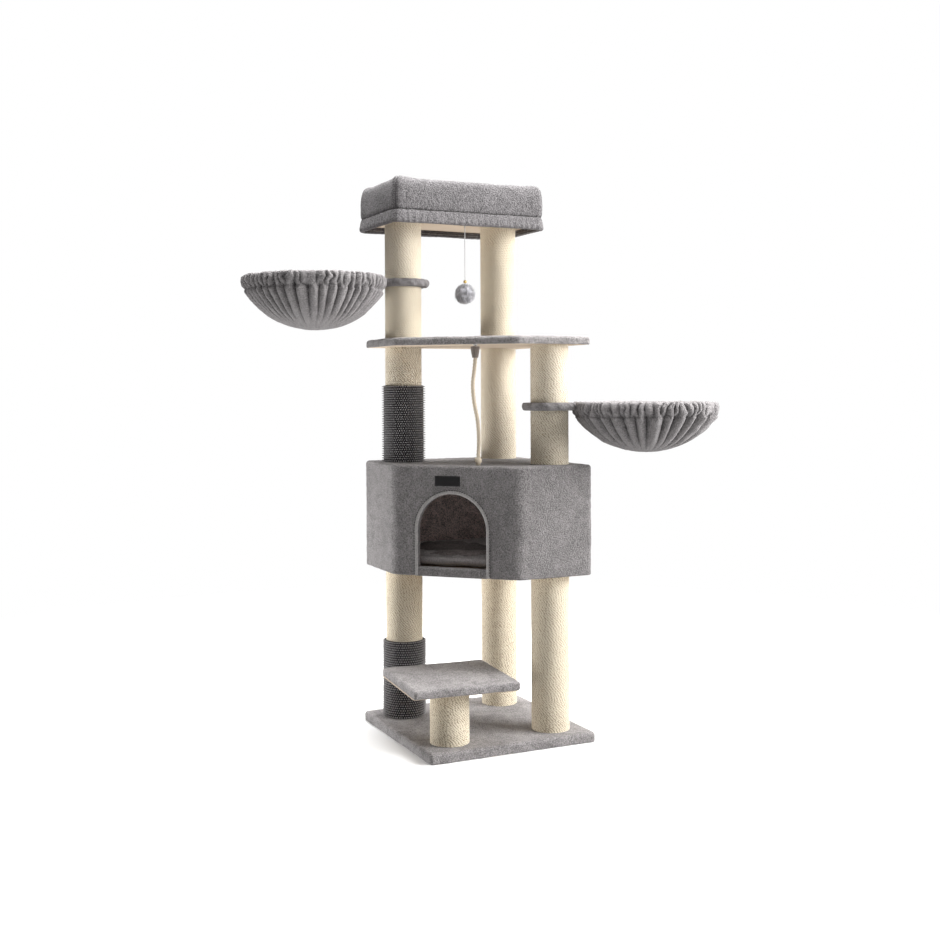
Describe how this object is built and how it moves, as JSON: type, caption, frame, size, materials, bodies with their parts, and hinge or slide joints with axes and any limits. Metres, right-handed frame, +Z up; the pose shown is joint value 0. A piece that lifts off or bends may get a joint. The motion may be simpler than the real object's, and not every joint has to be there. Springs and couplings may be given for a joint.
{
  "type": "cat tree",
  "caption": "Free-standing cat tree: sisal posts, step, plush cave, platform, padded top perch, two swivelling hammocks and hanging toys.",
  "frame": {"origin": "centre of the base's underside, on the floor", "axes": "+Z up; -Y is the front, where the step post and the right post stand; +X to the right"},
  "size_m": [1.3249, 0.8962, 1.699],
  "materials": {
    "plush": "short warm grey plush pile",
    "dark_plush": "grey-brown plush in shade",
    "sisal": "tightly wound twisted sisal rope",
    "board": "particle board with a cream lining",
    "cardboard": "wound cardboard tube",
    "bristle": "charcoal moulded bristles",
    "steel": "plain steel wire",
    "brass": "polished bead",
    "rope_fibre": "twisted three-strand rope",
    "rope_cap": "taupe plush cap",
    "string": "braided off-white string",
    "tag": "plain woven tag"
  },
  "bodies": {
    "tree": {"post_step_core": "cardboard", "post_left_low_core": "cardboard", "post_back_low_core": "cardboard", "post_right_low_core": "cardboard", "post_left_mid_core": "cardboard", "post_back_mid_core": "cardboard", "post_right_mid_a_core": "cardboard", "post_right_mid_b_core": "cardboard", "post_left_top_a_core": "cardboard", "post_left_top_b_core": "cardboard", "post_back_top_core": "cardboard", "post_step_sisal": "sisal", "post_left_low_sisal": "sisal", "post_back_low_sisal": "sisal", "post_right_low_sisal": "sisal", "post_left_mid_sisal": "sisal", "post_back_mid_sisal": "sisal", "post_right_mid_a_sisal": "sisal", "post_right_mid_b_sisal": "sisal", "post_left_top_a_sisal": "sisal", "post_left_top_b_sisal": "sisal", "post_back_top_sisal": "sisal", "base_board": "board", "step_board": "board", "cave_wall_board": "board", "cave_floor_board": "board", "cave_roof_board": "board", "platform_board": "board", "perch_board": "board", "base_cover": "plush", "step_cover": "plush", "cave_wall_cover": "plush", "cave_floor_cover": "plush", "cave_roof_cover": "plush", "door_hem": "plush", "platform_cover": "plush", "perch_skirt": "plush", "perch_bolster": "plush", "perch_pad": "plush", "cave_cushion": "dark_plush", "blank_tag": "tag", "groomer_low": "bristle", "groomer_mid": "bristle", "rope_eye": "steel", "pompom_eye": "steel"},
    "hammock_left": {"hammock_left_frame": "steel", "hammock_left_eye_cover": "plush", "hammock_left_bag": "plush"},
    "hammock_right": {"hammock_right_frame": "steel", "hammock_right_eye_cover": "plush", "hammock_right_bag": "plush"},
    "rope_link": {"rope_ring": "steel"},
    "rope_toy": {"rope": "rope_fibre", "rope_cap": "rope_cap", "rope_knot": "rope_fibre"},
    "pompom_link": {"pompom_ring": "steel"},
    "pompom": {"pompom_string": "string", "pompom_bead": "brass", "pompom_ball": "plush"}
  },
  "joints": [
    {"name": "hammock_left_swivel", "type": "hinge", "parent": "tree", "child": "hammock_left", "pos_m": [-0.167, 0.172, 1.386], "axis": [0, 0, 1], "range_deg": [-120, 50]},
    {"name": "hammock_right_swivel", "type": "hinge", "parent": "tree", "child": "hammock_right", "pos_m": [0.167, -0.172, 1], "axis": [0, 0, 1], "range_deg": [-90, 55]},
    {"name": "rope_swing_front_back", "type": "hinge", "parent": "tree", "child": "rope_link", "pos_m": [-0.067, -0.144, 1.1736], "axis": [1, 0, 0], "range_deg": [-15, 15]},
    {"name": "rope_swing_sideways", "type": "hinge", "parent": "rope_link", "child": "rope_toy", "pos_m": [-0.067, -0.144, 1.1667], "axis": [0, 1, 0], "range_deg": [-15, 15]},
    {"name": "pompom_swing_front_back", "type": "hinge", "parent": "tree", "child": "pompom_link", "pos_m": [-0.006, 0.055, 1.5666], "axis": [1, 0, 0], "range_deg": [-14, 14]},
    {"name": "pompom_swing_sideways", "type": "hinge", "parent": "pompom_link", "child": "pompom", "pos_m": [-0.006, 0.055, 1.5597], "axis": [0, 1, 0], "range_deg": [-14, 14]}
  ]
}
